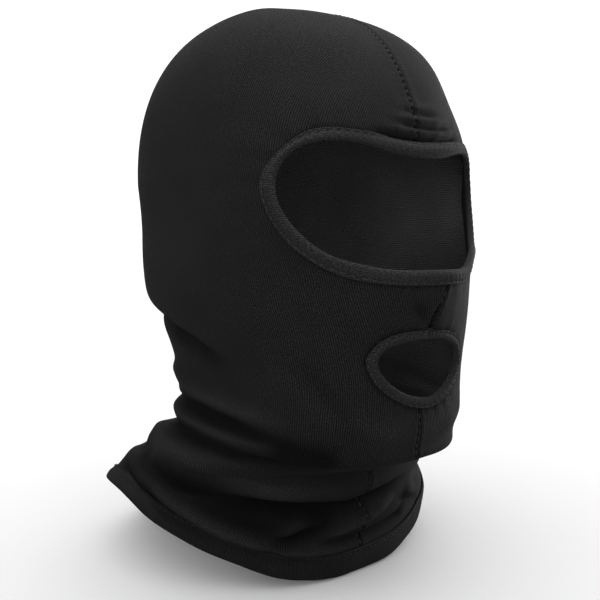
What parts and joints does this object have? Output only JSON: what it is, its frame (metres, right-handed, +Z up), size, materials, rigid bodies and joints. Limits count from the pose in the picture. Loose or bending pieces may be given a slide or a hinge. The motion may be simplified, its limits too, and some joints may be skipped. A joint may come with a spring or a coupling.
{
  "type": "balaclava",
  "caption": "Black stretch-jersey balaclava with one wide eye opening, a mouth opening, a gathered neck and a turned-up hem.",
  "frame": {"origin": "on the floor plane, at the middle of the footprint, in the plane of symmetry", "axes": "+Z up through the crown, the face looks along -Y, the wearer's left is +X"},
  "size_m": [0.193, 0.2313, 0.2939],
  "materials": {
    "jersey": "fine matte jersey knit, wales outside and purl rows inside",
    "binding": "folded jersey strip, matte",
    "hem": "double layer of the same jersey, matte",
    "allowance": "overlocked raw edge, matte",
    "thread": "spun polyester sewing thread"
  },
  "bodies": {
    "root": {"right_panel": "jersey", "left_panel": "jersey", "eye_binding": "binding", "mouth_binding": "binding", "neck_hem": "hem", "crown_seam_allowance": "allowance", "nose_seam_allowance": "allowance", "chin_seam_allowance": "allowance", "crown_seam_thread": "thread", "nose_seam_thread": "thread", "chin_seam_thread": "thread", "eye_stitch_thread": "thread", "mouth_stitch_thread": "thread", "hem_stitch_thread": "thread"}
  },
  "joints": []
}
